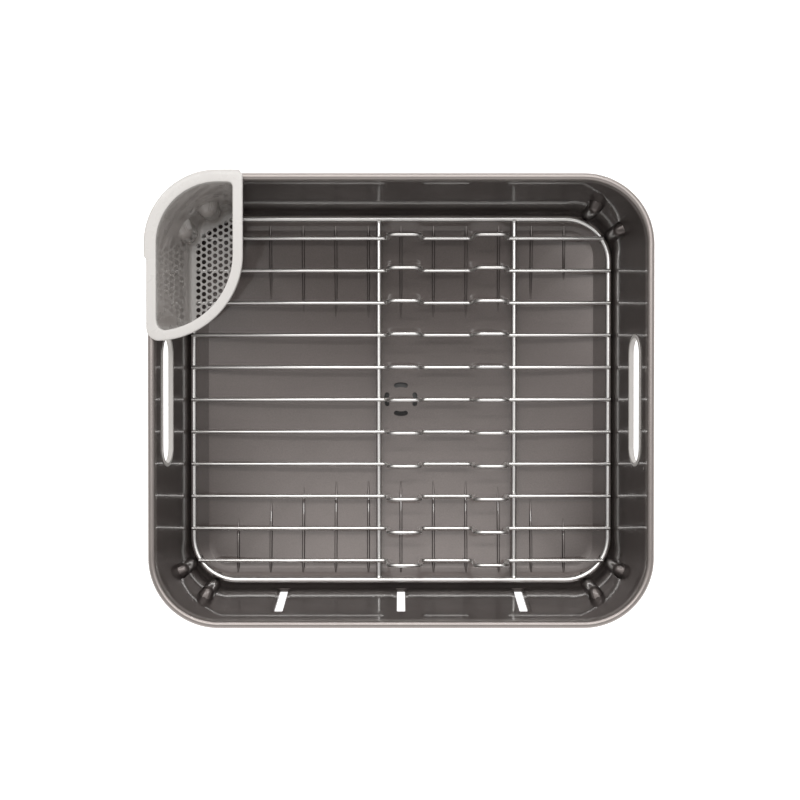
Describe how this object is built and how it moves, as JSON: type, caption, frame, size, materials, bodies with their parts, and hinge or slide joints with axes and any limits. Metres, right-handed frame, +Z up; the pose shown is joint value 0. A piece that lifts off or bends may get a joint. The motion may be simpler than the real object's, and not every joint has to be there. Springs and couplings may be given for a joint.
{
  "type": "dish drying rack",
  "caption": "Deep draining tub with a lift-out steel wire rack, upright plate loops, oval side handles and a perforated corner cutlery caddy.",
  "frame": {"origin": "on the table under the middle of the tub's rim", "axes": "+Z up, +X towards the right handle, +Y towards the back wall"},
  "size_m": [0.4163, 0.3743, 0.1433],
  "materials": {
    "tub_plastic": "gloss inside, warm dark grey",
    "caddy_plastic": "gloss, light warm grey",
    "trim_plastic": "satin, light warm grey",
    "foot_rubber": "matt",
    "shutter_plastic": "matt",
    "steel": "polished stainless wire"
  },
  "bodies": {
    "tub": {"tub": "tub_plastic", "trim_left": "trim_plastic", "trim_right": "trim_plastic", "foot_front_left": "foot_rubber", "foot_front_right": "foot_rubber", "foot_rear_left": "foot_rubber", "foot_rear_right": "foot_rubber", "drain_screw": "steel"},
    "shutter": {"drain_shutter": "shutter_plastic"},
    "rack": {"rack_frame": "steel", "rail_left": "steel", "rail_right": "steel", "wire_01": "steel", "wire_02": "steel", "wire_03": "steel", "wire_04": "steel", "wire_05": "steel", "wire_06": "steel", "wire_07": "steel", "wire_08": "steel", "wire_09": "steel", "wire_10": "steel", "wire_11": "steel"},
    "caddy": {"caddy": "caddy_plastic"}
  },
  "joints": [
    {"name": "shutter_turn", "type": "hinge", "parent": "tub", "child": "shutter", "pos_m": [0, 0, 0.005], "axis": [0, 0, 1], "range_deg": [0, 45]},
    {"name": "rack_lift", "type": "slide", "parent": "tub", "child": "rack", "axis": [0, 0, 1], "range_m": [0, 0.15]},
    {"name": "caddy_lift", "type": "slide", "parent": "rack", "child": "caddy", "axis": [0, 0, 1], "range_m": [0, 0.14]}
  ]
}
